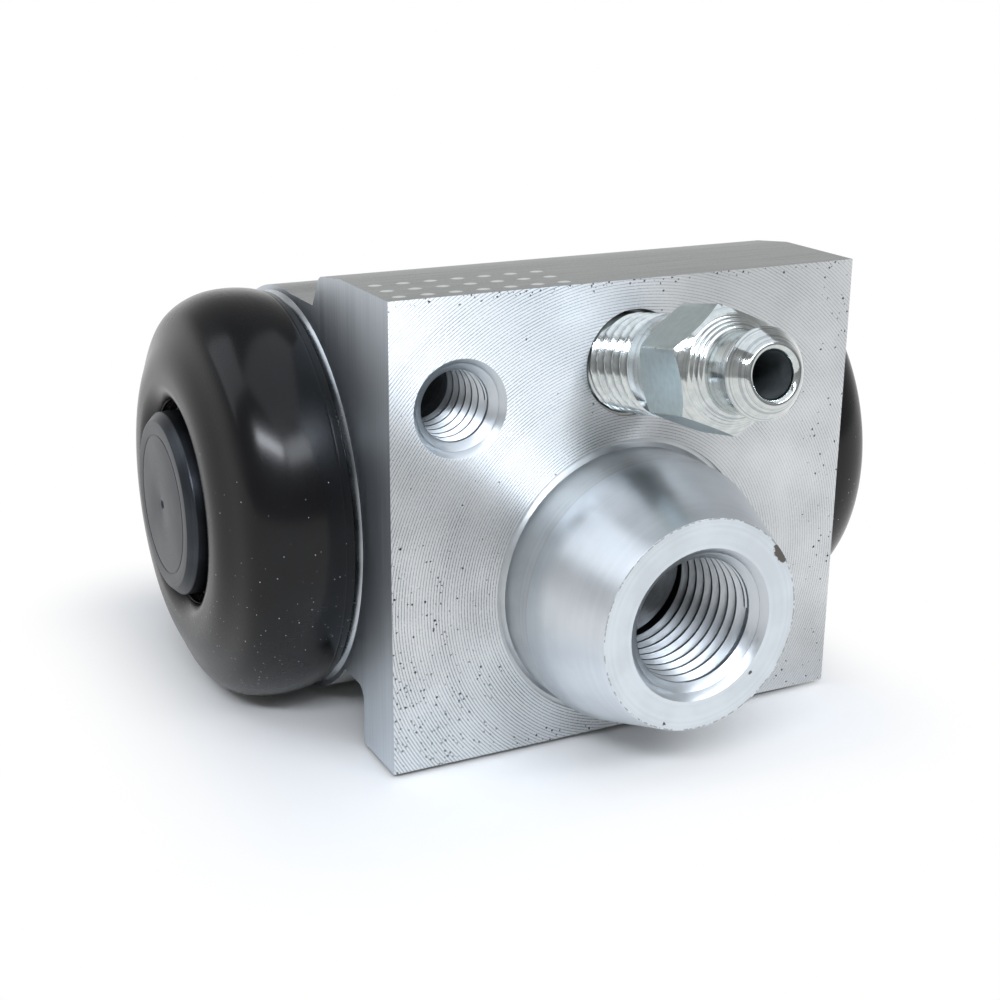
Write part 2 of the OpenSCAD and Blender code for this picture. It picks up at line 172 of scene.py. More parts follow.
def scattered(tree: Tree, where: Socket, cell_mm: float, radius_mm: float, limit: Socket | float) -> Socket:
    """Mask of small round spots scattered over a surface.

    Args:
        tree: the material's nodes.
        where: position in millimetres.
        cell_mm: distance between neighbouring spots before any are left out.
        radius_mm: radius of a spot.
        limit: share of the spots that are left out, from 0 to 1.

    Returns:
        Socket that is 1 in a spot and 0 elsewhere.
    """
    # The spots are bent and their rows turned, so that they look irregular.
    bend = {"Vector": where, "Scale": 0.8 / radius_mm, "Detail": 1.0}
    shift = add(tree, "TexNoise", bend, "Color")
    moved = add(tree, "VectorMath MULTIPLY_ADD", [shift, (1.8 * radius_mm,) * 3, where])
    askew = add(tree, "VectorRotate", {"Vector": moved, "Axis": (1.0, 0.7, 0.4), "Angle": 0.7})
    reach = add(tree, "TexVoronoi", {"Vector": askew, "Scale": 1 / cell_mm}, "Distance")
    chance = add(tree, "SeparateColor", [reach.node.outputs["Color"]])
    share = radius_mm / cell_mm
    size = add(tree, "MapRange", {0: chance.node.outputs[1], 3: 0.45 * share, 4: 1.2 * share})
    near = add(tree, "Math DIVIDE", [reach, size])
    spot = add(tree, "MapRange SMOOTHSTEP", [near, 1.2, 0.7])
    kept = add(tree, "Math GREATER_THAN", [chance, limit])
    return add(tree, "Math MULTIPLY", [spot, kept])


def toned(tree: Tree, pattern: Socket, span: Point, first: str, last: str) -> Socket:
    """Colour that goes softly from one tone to another as a pattern rises.

    Args:
        tree: the material's nodes.
        pattern: the pattern.
        span: its values at the two ends.
        first: tone at the first end.
        last: tone at the second end.

    Returns:
        Socket of the colour.
    """
    share = add(tree, "MapRange SMOOTHSTEP", [pattern, *span])
    return add(tree, "Mix RGBA", {0: share, 6: first, 7: last}, 2)


def surface(
    tree: Tree, colour: Socket, pattern: Socket, roughness: float, spread: Point, height: Socket, depth_mm: float,
    more: dict,
) -> Socket:
    """Shader whose roughness follows a pattern and whose fine relief follows a height.

    Args:
        tree: the material's nodes.
        colour: its base colour.
        pattern: noise that the roughness follows.
        roughness: roughness in the middle.
        spread: what the pattern's two ends add to it.
        height: height of the relief.
        depth_mm: depth of a relief of height 1.
        more: other inputs of the shader.

    Returns:
        Socket of the shader.
    """
    rough = add(tree, "MapRange", [pattern, *NOISE_SPAN, *(roughness + change for change in spread)])
    relief = add(tree, "Bump", {"Strength": 1.0, "Distance": depth_mm * MM, "Height": height})
    return add(tree, "BsdfPrincipled", {"Base Color": colour, "Roughness": rough, "Normal": relief, **more})


@dataclass(frozen=True)
class Finish:
    """One finish: a named material that is made once."""

    name: str

    def material(self) -> bpy.types.Material:
        """Material of this finish, made at its first use.

        Returns:
            The material.
        """
        made = bpy.data.materials.get(self.name)
        if made is None:
            made = bpy.data.materials.new(self.name)
            made.use_nodes = True
            made.node_tree.nodes.clear()
            shader = self.draw(made.node_tree)
            add(made.node_tree, "OutputMaterial", {"Surface": shader})
        return made

    def draw(self, tree: Tree) -> Socket:
        """Draws the nodes of this finish and returns its shader.

        Args:
            tree: the material's nodes.

        Returns:
            Socket of the shader.
        """
        raise NotImplementedError


@dataclass(frozen=True)
class MilledAluminium(Finish):
    """Bare aluminium faced with a pointed tool: bright, with even rings that fan the light out, and small pits."""

    pale: str
    groove_shade: str
    pit: str
    pitch_mm: float
    depth_mm: float
    roughness: float
    fan: float
    cloud_mm: float = 5.0
    fine_mm: float = 0.14
    drift_mm: float = 1.3

    def draw(self, tree: Tree) -> Socket:
        """Draws tool rings about the port, darkened along their grooves as painted shade, fine grain, and pits
        that gather towards the edges.

        Args:
            tree: the material's nodes.

        Returns:
            Socket of the shader.
        """
        where = spot_mm(tree)
        offset, radius, _ = around(tree, where, *ABOUT_PORT)
        rings = add(tree, "CombineXYZ", [radius])
        # The grain, finer than a tenth of a millimetre, is drawn coarser, so that it shows.
        cloud, fine, drift = (
            add(tree, "TexNoise", {"Vector": vector, "Scale": 1 / size, "Detail": 2.0})
            for vector, size in ((where, self.cloud_mm), (where, self.fine_mm), (rings, self.drift_mm))
        )
        wander = add(tree, "Math MULTIPLY_ADD", [cloud, 0.5 * self.pitch_mm, radius])
        wave = add(tree, "Math SINE", [add(tree, "Math MULTIPLY", [wander, TAU / self.pitch_mm])])
        ragged = add(tree, "Math MULTIPLY_ADD", [fine, 1.6, wave])
        line = add(tree, "MapRange SMOOTHSTEP", [ragged, 0.42, -0.15])
        mixed = add(tree, "Math ADD", [drift, cloud])
        strong = add(tree, "MapRange", [mixed, 0.75, 1.25, 0.55, 1.0])
        right = add(tree, "SeparateXYZ", [where])
        # The painted groove shade fades towards the right.
        dark_share = add(tree, "MapRange SMOOTHSTEP", [right, -8.0, 9.0, 1.0, 0.5])
        share = add(tree, "Math MULTIPLY", [line, add(tree, "Math MULTIPLY", [strong, dark_share])])
        # Real tool rings, painted darker in their grooves: painted shade.
        marked = add(tree, "Mix RGBA", {0: share, 6: self.pale, 7: self.groove_shade}, 2)
        pits = self.pits(tree, where)
        colour = add(tree, "Mix RGBA", {0: pits, 6: marked, 7: self.pit}, 2)
        height = add(tree, "Math MULTIPLY_ADD", [pits, -4.0, ragged])
        more = METAL | {"Anisotropic": self.fan, "Tangent": add(tree, "VectorMath NORMALIZE", [offset])}
        return surface(tree, colour, cloud, self.roughness, (-0.04, 0.05), height, self.depth_mm, more)

    @staticmethod
    def pits(tree: Tree, where: Socket) -> Socket:
        """Mask of the pits: few on most of the face, more at its lower left corner and along its edges.

        Args:
            tree: the material's nodes.
            where: position in millimetres.

        Returns:
            Socket that is 1 in a pit and 0 elsewhere.
        """
        x = add(tree, "SeparateXYZ", [where])
        z = x.node.outputs[2]
        left, lower = add(tree, "MapRange", [x, -8.0, -18.0]), add(tree, "MapRange", [z, 6.0, -11.5])
        dense = add(tree, "Math MULTIPLY", [left, lower])
        # Bands at the right, at the foot and at the top: where each starts and ends, and how dense it gets.
        for place, start, end, most in ((x, 13.0, 18.0, 0.16), (z, -10.2, -11.6, 0.6), (z, 20.9, 21.5, 0.95)):
            band = add(tree, "MapRange", [place, start, end, 0.0, most])
            dense = add(tree, "Math MAXIMUM", [dense, band])
        limit = add(tree, "MapRange", [dense, 0.0, 0.9, 0.99, 0.1])
        return scattered(tree, where, 0.3, 0.082, limit)


@dataclass(frozen=True)
class TurnedAluminium(Finish):
    """Aluminium turned on a lathe: satin, with hair lines around the axis and soft clouds."""

    pale: str
    dull: str
    axis: Triple
    through: Triple
    roughness: float
    line_mm: float
    depth_mm: float
    fan: float
    cloud_mm: float = 3.0
    fine_mm: float = 0.12

    def draw(self, tree: Tree) -> Socket:
        """Draws hair lines around the axis, along the turned profile, and a cloudy tone.

        Args:
            tree: the material's nodes.

        Returns:
            Socket of the shader.
        """
        where = spot_mm(tree)
        offset, radius, reach = around(tree, where, self.axis, self.through)
        profile = add(tree, "CombineXYZ", [radius, reach])
        # Hair lines of a few hundredths of a millimetre are drawn coarser, so that they show.
        patterns = ((profile, self.line_mm, 2.0), (where, self.cloud_mm, 3.0), (where, self.fine_mm, 2.0))
        line, cloud, fine = (
            add(tree, "TexNoise", {"Vector": vector, "Scale": 1 / size, "Detail": detail})
            for vector, size, detail in patterns
        )
        tone = add(tree, "Math MULTIPLY_ADD", [line, 0.6, cloud])
        colour = toned(tree, tone, (0.6, 1.0), self.dull, self.pale)
        height = add(tree, "Math MULTIPLY_ADD", [fine, 0.5, line])
        more = METAL | {"Anisotropic": self.fan, "Tangent": add(tree, "VectorMath NORMALIZE", [offset])}
        return surface(tree, colour, cloud, self.roughness, (-0.03, 0.04), height, self.depth_mm, more)


@dataclass(frozen=True)
class FacedAluminium(Finish):
    """Aluminium faced on a lathe and knocked in use: pale even satin, with a dark nick, pits and a broken rim."""

    pale: str
    dull: str
    dark: str
    roughness: float
    rim_mm: float
    nick_mm: Triple
    nick_turn: float
    nick_half_mm: Triple
    line_mm: float = 0.3
    cloud_mm: float = 3.0
    ragged_mm: float = 0.3
    depth_mm: float = 0.01

    def draw(self, tree: Tree) -> Socket:
        """Draws faint turned lines, a broken line along the rim, a few pits and one nick at the rim.

        Args:
            tree: the material's nodes.

        Returns:
            Socket of the shader.
        """
        where = spot_mm(tree)
        _, radius, _ = around(tree, where, *ABOUT_PORT)
        rings = add(tree, "CombineXYZ", [radius])
        # Turned lines of a few hundredths of a millimetre are drawn coarser, so that they show.
        patterns = ((rings, self.line_mm, 2.0), (where, self.cloud_mm, 3.0), (where, self.ragged_mm, 2.0))
        line, cloud, ragged = (
            add(tree, "TexNoise", {"Vector": vector, "Scale": 1 / size, "Detail": detail})
            for vector, size, detail in patterns
        )
        tone = add(tree, "Math MULTIPLY_ADD", [line, 0.6, cloud])
        plain = toned(tree, tone, (0.6, 1.0), self.dull, self.pale)
        edge = add(tree, "MapRange", [radius, self.rim_mm - 0.14, self.rim_mm - 0.06])
        broken = add(tree, "MapRange", [ragged, 0.46, 0.54, 0.0, 0.6])
        rim = add(tree, "Math MULTIPLY", [edge, broken])
        aside = add(tree, "Mapping TEXTURE", [where, self.nick_mm, (0, self.nick_turn, 0), self.nick_half_mm])
        reach = add(tree, "VectorMath LENGTH", [aside], "Value")
        bent = add(tree, "Math MULTIPLY_ADD", [ragged, 1.4, reach])
        nick = add(tree, "MapRange SMOOTHSTEP", [bent, 1.75, 1.45])
        hollow = add(tree, "Math MAXIMUM", [nick, scattered(tree, where, 0.8, 0.12, 0.96)])
        dark_share = add(tree, "Math MAXIMUM", [hollow, rim])
        colour = add(tree, "Mix RGBA", {0: dark_share, 6: plain, 7: self.dark}, 2)
        height = add(tree, "Math MULTIPLY_ADD", [hollow, -6.0, ragged])
        return surface(tree, colour, cloud, self.roughness, (-0.03, 0.04), height, self.depth_mm, METAL)


@dataclass(frozen=True)
class ExtrudedAluminium(Finish):
    """Skin of an extruded bar: dull grey, with faint lines along the bar and small punched dots."""

    pale: str
    dull: str
    dot: str
    roughness: float
    line_mm: Triple = (9.0, 0.15, 0.15)
    grain_mm: float = 0.12
    stain_mm: float = 3.5
    depth_mm: float = 0.006

    def draw(self, tree: Tree) -> Socket:
        """Draws lines along the bar, grain, stains and a plain grid of punched dots.

        Args:
            tree: the material's nodes.

        Returns:
            Socket of the shader.
        """
        where = spot_mm(tree)
        # Die lines and grain of a few hundredths of a millimetre are drawn coarser, so that they show.
        drawn = add(tree, "VectorMath DIVIDE", [where, self.line_mm])
        patterns = ((drawn, 1.0, 3.0), (where, self.grain_mm, 2.0), (where, self.stain_mm, 3.0))
        line, grain, stain = (
            add(tree, "TexNoise", {"Vector": vector, "Scale": 1 / size, "Detail": detail})
            for vector, size, detail in patterns
        )
        rough = add(tree, "Math MULTIPLY_ADD", [line, 1.2, grain])
        tone = add(tree, "Math MULTIPLY_ADD", [stain, 0.4, rough])
        plain = toned(tree, tone, (0.95, 1.65), self.dull, self.pale)
        dots = self.punched(tree, where)
        colour = add(tree, "Mix RGBA", {0: dots, 6: plain, 7: self.dot}, 2)
        height = add(tree, "Math MULTIPLY_ADD", [dots, -9.0, rough])
        return surface(tree, colour, stain, self.roughness, (-0.03, 0.03), height, self.depth_mm, METAL)

    @staticmethod
    def punched(tree: Tree, where: Socket) -> Socket:
        """Mask of a plain grid of punched dots near the left end of the top.

        Args:
            tree: the material's nodes.
            where: position in millimetres.

        Returns:
            Socket that is 1 in a dot and 0 elsewhere.
        """
        pitch, margin, first, last, top = 2.0, 0.5, (-16.9, 1.2), (-4.9, 5.2), 21.0
        x = add(tree, "SeparateXYZ", [where])
        inside = add(tree, "Math GREATER_THAN", [x.node.outputs[2], top])
        squares = []
        for value, low, high in zip(x.node.outputs, first, last):
            cell = add(tree, "Math PINGPONG", [add(tree, "Math SUBTRACT", [value, low]), pitch / 2])
            squares.append(add(tree, "Math POWER", [cell, 2.0]))
            for limit, test in ((low - margin, "GREATER_THAN"), (high + margin, "LESS_THAN")):
                inside = add(tree, "Math MULTIPLY", [inside, add(tree, f"Math {test}", [value, limit])])
        reach = add(tree, "Math MULTIPLY_ADD", [squares[1], 2.2, squares[0]])
        spot = add(tree, "MapRange SMOOTHSTEP", [reach, 0.34, 0.12])
        return add(tree, "Math MULTIPLY", [spot, inside])


@dataclass(frozen=True)
class SawnAluminium(Finish):
    """Bar end cut by a fine circular saw: smooth satin grey, with faint upright strokes."""

    pale: str
    dull: str
    roughness: float
    stroke_mm: Triple = (0.2, 0.2, 14.0)
    depth_mm: float = 0.0015

    def draw(self, tree: Tree) -> Socket:
        """Draws upright strokes of the saw.

        Args:
            tree: the material's nodes.

        Returns:
            Socket of the shader.
        """
        # Strokes of about 0.05 mm are drawn coarser, so that they show.
        drawn = add(tree, "VectorMath DIVIDE", [spot_mm(tree), self.stroke_mm])
        stroke = add(tree, "TexNoise", {"Vector": drawn, "Scale": 1.0, "Detail": 3.0})
        share = add(tree, "MapRange", [stroke, *NOISE_SPAN])
        colour = add(tree, "Mix RGBA", {0: share, 6: self.dull, 7: self.pale}, 2)
        return surface(tree, colour, stroke, self.roughness, (-0.03, 0.03), stroke, self.depth_mm, METAL)


@dataclass(frozen=True)
class TappedAluminium(Finish):
    """Aluminium cut by a drill and a tap: bright at the mouth of its hole, with painted shade that darkens it
    deeper inside.
    """

    pale: str
    deep_shade: str
    mouth_mm: float
    deep_mm: float
    roughness: float
    streak_mm: Triple = (0.6, 0.07, 0.6)
    unshaded_mm: float = 1.5
    depth_mm: float = 0.002

    def draw(self, tree: Tree) -> Socket:
        """Draws painted shade that darkens with depth into the hole, and fine streaks around the hole.

        Args:
            tree: the material's nodes.

        Returns:
            Socket of the shader.
        """
        where = spot_mm(tree)
        drawn = add(tree, "VectorMath DIVIDE", [where, self.streak_mm])
        streak = add(tree, "TexNoise", {"Vector": drawn, "Scale": 1.0, "Detail": 2.0})
        # Painted shade: a short band inside the mouth stays pale, then the tone darkens with depth.
        shade_depth = add(tree, "Math MULTIPLY_ADD", [streak, 2.0, add(tree, "SeparateXYZ", [where], 1)])
        start = self.mouth_mm + self.unshaded_mm
        colour = toned(tree, shade_depth, (start, start + self.deep_mm), self.pale, self.deep_shade)
        return surface(tree, colour, streak, self.roughness, (-0.05, 0.05), streak, self.depth_mm, METAL)


@dataclass(frozen=True)
class MouldedRubber(Finish):
    """Black rubber from a blasted mould: deep black, with a grainy sheen and a little dust."""

    pale: str
    dull: str
    speck: str
    roughness: float
    grain_mm: float
    grain_depth_mm: float
    clean: float
    bloom_mm: float = 5.0
    dusty_z: Point = (11.0, -9.0)

    def draw(self, tree: Tree) -> Socket:
        """Draws the mould's grain, a soft bloom and specks of dust that gather towards the bottom.

        Args:
            tree: the material's nodes.

        Returns:
            Socket of the shader.
        """
        where = spot_mm(tree)
        # The blasted grain, about 0.05 mm, is drawn coarser, so that it shows.
        grain, bloom = (
            add(tree, "TexNoise", {"Vector": where, "Scale": 1 / size, "Detail": detail})
            for size, detail in ((self.grain_mm, 2.0), (self.bloom_mm, 3.0))
        )
        plain = toned(tree, bloom, NOISE_SPAN, self.dull, self.pale)
        limit = add(tree, "MapRange", [add(tree, "SeparateXYZ", [where], 2), *self.dusty_z, 1.0, self.clean])
        dust = scattered(tree, where, 0.38, 0.045, limit)
        colour = add(tree, "Mix RGBA", {0: dust, 6: plain, 7: self.speck}, 2)
        sheen = {"Specular IOR Level": 0.04, "Coat Weight": 0.55, "Coat Roughness": 0.2}
        return surface(tree, colour, bloom, self.roughness, (-0.03, 0.05), grain, self.grain_depth_mm, sheen)


@dataclass(frozen=True)
class PlatedSteel(Finish):
    """Turned steel under bright zinc: mirror-like grey-green, with fine dark lines around the screw."""

    pale: str
    dull: str
    line: str
    roughness: float
    axis: Triple
    through: Triple
    line_share: float
    line_depth_mm: float
    root_shade_mm: Point = (0.1, 0.0)
    line_mm: float = 0.16
    cloud_mm: float = 0.5

    def draw(self, tree: Tree) -> Socket:
        """Draws turned lines along the screw, painted shade in the thread's roots inside a radius, and a cloudy
        plating.

        Args:
            tree: the material's nodes.

        Returns:
            Socket of the shader.
        """
        where = spot_mm(tree)
        _, radius, reach = around(tree, where, self.axis, self.through)
        profile = add(tree, "CombineXYZ", [reach, radius])
        # Turned lines of about 0.06 mm are drawn coarser, so that they show.
        patterns = ((profile, self.line_mm, 1.0), (where, self.cloud_mm, 2.0), (where, self.line_mm, 1.0))
        line, cloud, fine = (
            add(tree, "TexNoise", {"Vector": vector, "Scale": 1 / size, "Detail": detail})
            for vector, size, detail in patterns
        )
        plain = toned(tree, cloud, NOISE_SPAN, self.dull, self.pale)
        ring = add(tree, "MapRange SMOOTHSTEP", [line, 0.52, 0.66, 0.0, self.line_share])
        # Painted shade in the thread's roots: the dark tone covers the radii inside the given span.
        root_shade = add(tree, "MapRange SMOOTHSTEP", [radius, *self.root_shade_mm])
        dark = add(tree, "Math MAXIMUM", [ring, root_shade])
        colour = add(tree, "Mix RGBA", {0: dark, 6: plain, 7: self.line}, 2)
        height = add(tree, "Math MULTIPLY_ADD", [fine, 0.35, line])
        return surface(tree, colour, cloud, self.roughness, (-0.03, 0.04), height, self.line_depth_mm, METAL)


@dataclass(frozen=True)
class DrawnSteel(Finish):
    """Steel drawn, pressed or drilled and left oiled: half shiny, with cloudy scale and faint scratches."""

    pale: str
    dull: str
    roughness: float
    metal: float = 1.0
    cloud_mm: float = 1.1
    scratch_mm: Triple = (0.08, 0.5, 0.5)
    depth_mm: float = 0.004

    def draw(self, tree: Tree) -> Socket:
        """Draws cloudy scale and faint scratches.

        Args:
            tree: the material's nodes.

        Returns:
            Socket of the shader.
        """
        where = spot_mm(tree)
        cloud = add(tree, "TexNoise", {"Vector": where, "Scale": 1 / self.cloud_mm, "Detail": 3.0})
        drawn = add(tree, "VectorMath DIVIDE", [where, self.scratch_mm])
        scratch = add(tree, "TexNoise", {"Vector": drawn, "Scale": 1.0, "Detail": 2.0})
        colour = toned(tree, cloud, NOISE_SPAN, self.dull, self.pale)
        more = {"Metallic": self.metal}
        return surface(tree, colour, cloud, self.roughness, (-0.06, 0.06), scratch, self.depth_mm, more)


# Mesh work


def soften(points: Sequence[Point], radius: float, steps: int = 3, closed: bool = True) -> list[Point]:
    """Rounds the corners of a drawn outline.

    Args:
        points: corners of the outline.
        radius: how far a rounding reaches along each side of its corner.
        steps: points that replace a corner, less one.
        closed: whether the last point joins the first.

    Returns:
        Points of the rounded outline.
    """
    least_turn, most_share = math.radians(14), 0.45
    out: list[Point] = []
    count = len(points)
    for i, point in enumerate(points):
        if not closed and i in (0, count - 1):
            out.append(point)
            continue
        here = Vector(point)
        back, ahead = Vector(points[i - 1]) - here, Vector(points[(i + 1) % count]) - here
        if math.pi - back.angle(ahead, math.pi) < least_turn:
            out.append(point)
            continue
        reach = min(radius, most_share * back.length, most_share * ahead.length)
        first, last = here + back.normalized() * reach, here + ahead.normalized() * reach
        for k in range(steps + 1):
            t = k / steps
            spot = first * (1 - t) ** 2 + here * (2 * t * (1 - t)) + last * t ** 2
            out.append((spot.x, spot.y))
    return out


def arc(centre: Point, across: float, along: float, start: float, end: float, steps: int) -> list[Point]:
    """Points of an elliptical arc.

    Args:
        centre: its centre.
        across: half axis along the first coordinate.
        along: half axis along the second coordinate.
        start: first angle in degrees.
        end: last angle in degrees.
        steps: number of pieces.

    Returns:
        The arc's points.
    """
    angles = [math.radians(start + (end - start) * i / steps) for i in range(steps + 1)]
    return [(centre[0] + across * math.cos(a), centre[1] + along * math.sin(a)) for a in angles]


def finish_mesh(name: str, mesh: bmesh.types.BMesh, place: Matrix, sharp: float) -> bpy.types.Object:
    """Turns a drawn mesh in millimetres into an object in metres.

    Args:
        name: name of the piece.
        mesh: the mesh, which is freed.
        place: where the piece goes in the part's frame, in millimetres.
        sharp: angle in degrees above which an edge stays sharp.

    Returns:
        The new object, linked to the scene.
    """
    bmesh.ops.transform(mesh, matrix=Matrix.Scale(MM, 4) @ place, verts=mesh.verts)
    bmesh.ops.recalc_face_normals(mesh, faces=mesh.faces)
    data = bpy.data.meshes.new(name)
    mesh.to_mesh(data)
    mesh.free()
    data.shade_smooth()
    data.set_sharp_from_angle(angle=math.radians(sharp))
    piece = bpy.data.objects.new(name, data)
    bpy.context.scene.collection.objects.link(piece)
    return piece


def skin(
    mesh: bmesh.types.BMesh, rings: Sequence[Sequence[Vector]], loop: bool = False, caps: bool = False,
) -> list[list]:
    """Joins rings of points by faces. A ring of one point is a pole.

    Args:
        mesh: mesh that gets the faces.
        rings: rings in order, each closed.
        loop: whether the last ring joins the first.
        caps: whether the two end rings are filled.

    Returns:
        The new faces, in one list for each pair of rings.
    """
    rows = [[mesh.verts.new(point) for point in ring] for ring in rings]
    pairs = list(zip(rows, rows[1:])) + ([(rows[-1], rows[0])] if loop else [])
    bands = []
    for first, second in pairs:
        count = max(len(first), len(second))
        band = []
        for j in range(count):
            k = (j + 1) % count
            spots = ((first, j), (first, k), (second, k), (second, j))
            corners = [row[i % len(row)] for row, i in spots]
            band.append(mesh.faces.new(list(dict.fromkeys(corners))))
        bands.append(band)
    if caps:
        bands += [[mesh.faces.new(rows[0])], [mesh.faces.new(rows[-1])]]
    return bands


def revolve(mesh: bmesh.types.BMesh, profile: Sequence[Point], segments: int) -> list[list]:
    """Turns a closed profile about the Z axis.

    Args:
        mesh: mesh that gets the faces.
        profile: radius and height of each point; it may start and end on the axis.
        segments: steps around the axis.

    Returns:
        The new faces, in one list for each step of the profile.
    """
    on_axis = 1e-6
    angles = [TAU * j / segments for j in range(segments)]
    rings = [
        [Vector((r * math.cos(a), r * math.sin(a), h)) for a in angles] if r > on_axis else [Vector((0, 0, h))]
        for r, h in profile
    ]
    return skin(mesh, rings, loop=profile[0][0] > on_axis)


def round_edges(mesh: bmesh.types.BMesh, edges: list, offset: float, slide: bool = False) -> None:
    """Rounds some edges of a mesh.

    Args:
        mesh: the mesh.
        edges: its edges that are rounded.
        offset: how far the rounding reaches on each side of an edge.
        slide: whether new points slide along the edges that stay.
    """
    bmesh.ops.bevel(
        mesh, geom=edges, offset=offset, offset_type="OFFSET", segments=2, profile=0.5, affect="EDGES",
        clamp_overlap=True, loop_slide=slide,
    )


def dress(piece: bpy.types.Object, finishes: Sequence[Finish], body: str | None = None) -> None:
    """Gives a piece its finishes and the body it moves with.

    Args:
        piece: the piece.
        finishes: its finishes, in the order of its faces' material numbers.
        body: body that carries a rigid new piece.
    """
    numbers = [face.material_index for face in piece.data.polygons]
    piece.data.materials.clear()
    for finish in finishes:
        piece.data.materials.append(finish.material())
    if len(finishes) > 1:
        piece.data.polygons.foreach_set("material_index", numbers)
    if body:
        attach(piece, body)
    LOG.info("%s: %d faces, %s", piece.name, len(piece.data.polygons), ", ".join(f.name for f in finishes))


@dataclass(frozen=True)
class BoreAxis:
    """Axis of the bore, which the pistons, boots and spring share."""

    y: float = 20.02
    z: float = 3.5

    def place(self, side: Side) -> Matrix:
        """Matrix that lays a turned piece on the axis, with its +Z outwards on one side."""
        turn = Matrix.Rotation(math.radians(90) * side.value, 4, "Y")
        return Matrix.Translation((0, self.y, self.z)) @ turn

    def point(self, side: Side, out: float) -> Triple:
        """Point of the axis in metres, at a distance from the middle on one side."""
        return (side.value * out * MM, self.y * MM, self.z * MM)


BORE = BoreAxis()
ON_BORE = (0.0, BORE.y, BORE.z)
ABOUT_BORE = ((1.0, 0.0, 0.0), ON_BORE)


# Sub-assemblies


class BodyFinish(Enum):
    """Surfaces of the body, by the number of their finish."""

    FACE = 0
    REGISTER = 1
    CONE = 2
    RING = 3
    SKIN = 4
    SAWN = 5
    BORED = 6
    PORT = 7
    BOLT = 8


@dataclass(frozen=True)
class CylinderBody:
    """Aluminium body: milled mounting face, turned boss, extruded skin, sawn ends and tapped holes."""

    node: str = "cylinder_body"
    slot: str = "machined_aluminium"
    edge_round: float = 0.07
    half_len: float = 18.2
    boss_h: float = 9.8
    boss_register: float = 3.2
    ring_r: float = 7.55
    relief_r: float = 10.35
    port_r: float = 5.0
    port_mouth: float = 9.8
    port_bevel: float = 0.46
    port_end: float = -0.4
    bolt: Point = (-13.1, 14.02)
    bolt_r: float = 3.0
    bolt_bevel: float = 0.42
    bolt_end: float = -8.4
    thread_pitch: float = 1.0
    thread_depth: float = 0.54
    relief_depth: float = 0.4
    hole_depth: float = 12.0
    hole_wall: float = 0.5
    bore_reach: float = 10.8
    level: float = 0.05
    close: float = 0.02
    nick_angle: float = 34.5
    nick_in: float = 0.22
    nick_half: Triple = (0.95, 1.0, 0.34)

    def finishes(self) -> list[Finish]:
        """Finishes of the body, in the order of BodyFinish.

        Returns:
            One finish for each of BodyFinish.
        """
        return [
            # The face's second tone is the painted shade of its tool grooves.
            MilledAluminium(
                "milled_aluminium_face", "#fafdff", "#9ba6b1", "#3c4046", pitch_mm=0.2125, depth_mm=0.003,
                roughness=0.5, fan=1.0,
            ),
            TurnedAluminium(
                "turned_aluminium_register", "#cdd1d3", "#bfc3c6", *ABOUT_PORT, roughness=0.42, line_mm=0.25,
                depth_mm=0.002, fan=0.3,
            ),
            TurnedAluminium(
                "fine_turned_aluminium_cone", "#d5dadf", "#ccd2d7", *ABOUT_PORT, roughness=0.33, line_mm=0.5,
                depth_mm=0.001, fan=0.2,
            ),
            self.ring(),
            ExtrudedAluminium("extruded_aluminium_skin", "#bdbfbe", "#9d9f9e", "#f4f5f3", roughness=0.4),
            SawnAluminium("sawn_aluminium_end", "#d1d8df", "#c5ccd3", roughness=0.4),
            TurnedAluminium(
                "bored_aluminium", "#ccd1d5", "#b2b8bd", *ABOUT_BORE, roughness=0.25, line_mm=0.3,
                depth_mm=0.0015, fan=0.3,
            ),
            self.tapped("inlet_thread"),
            self.tapped("bolt_thread"),
        ]

    def ring(self) -> Finish:
        """Finish of the boss's flat ring, with the nick at its rim.

        Returns:
            The finish.
        """
        angle, from_axis = math.radians(self.nick_angle), self.ring_r - self.nick_in
        nick = (from_axis * math.cos(angle), -self.boss_h, from_axis * math.sin(angle))
        return FacedAluminium(
            "faced_aluminium_ring", "#e1e8ee", "#d6dde3", "#6a6764", roughness=0.5, rim_mm=self.ring_r,
            nick_mm=nick, nick_turn=math.radians(90) - angle, nick_half_mm=self.nick_half,
        )

    def tapped(self, name: str) -> Finish:
        """Finish of a tapped hole and of its thread, by the thread's name.

        Args:
            name: name of the thread's piece.

        Returns:
            The finish.
        """
        mouth = {"inlet_thread": -self.port_mouth, "bolt_thread": 0.0}[name]
        # The second tone is painted shade deep inside the hole.
        return TappedAluminium(
            f"{name}_tapped_aluminium", "#c6ccd1", "#5e6266", mouth_mm=mouth, deep_mm=13.0, roughness=0.36
        )

    def pick(self, face: bmesh.types.BMFace) -> BodyFinish:
        """Finish of one face of the body, by where it is and which way it looks.

        Args:
            face: a face of the body's mesh, in metres.

        Returns:
            Surface that the face belongs to.
        """
        middle, normal = face.calc_center_median() / MM, face.normal
        from_port = math.hypot(middle.x, middle.z)
        from_bolt = math.hypot(middle.x - self.bolt[0], middle.z - self.bolt[1])
        from_bore = math.hypot(middle.y - BORE.y, middle.z - BORE.z)
        outward = normal.x * middle.x + normal.z * middle.z > 0
        in_relief = from_port < self.relief_r and middle.y < self.relief_depth
        in_hole = middle.y < self.hole_depth
        if normal.y < -0.5 and abs(middle.y) < self.level:
            return BodyFinish.FACE
        if in_relief and outward:
            return BodyFinish.REGISTER if middle.y > -self.boss_register - self.close else BodyFinish.CONE
        if middle.y < self.level - self.boss_h:
            return BodyFinish.RING
        if from_port - self.port_r < self.hole_wall and in_hole:
            return BodyFinish.PORT
        if from_bolt - self.bolt_r < self.hole_wall and in_hole:
            return BodyFinish.BOLT
        if in_relief:
            return BodyFinish.REGISTER
        if abs(normal.x) > 0.9 and abs(abs(middle.x) - self.half_len) < self.close:
            return BodyFinish.SAWN
        if abs(middle.x) > self.half_len or from_bore < self.bore_reach:
            return BodyFinish.BORED
        return BodyFinish.SKIN

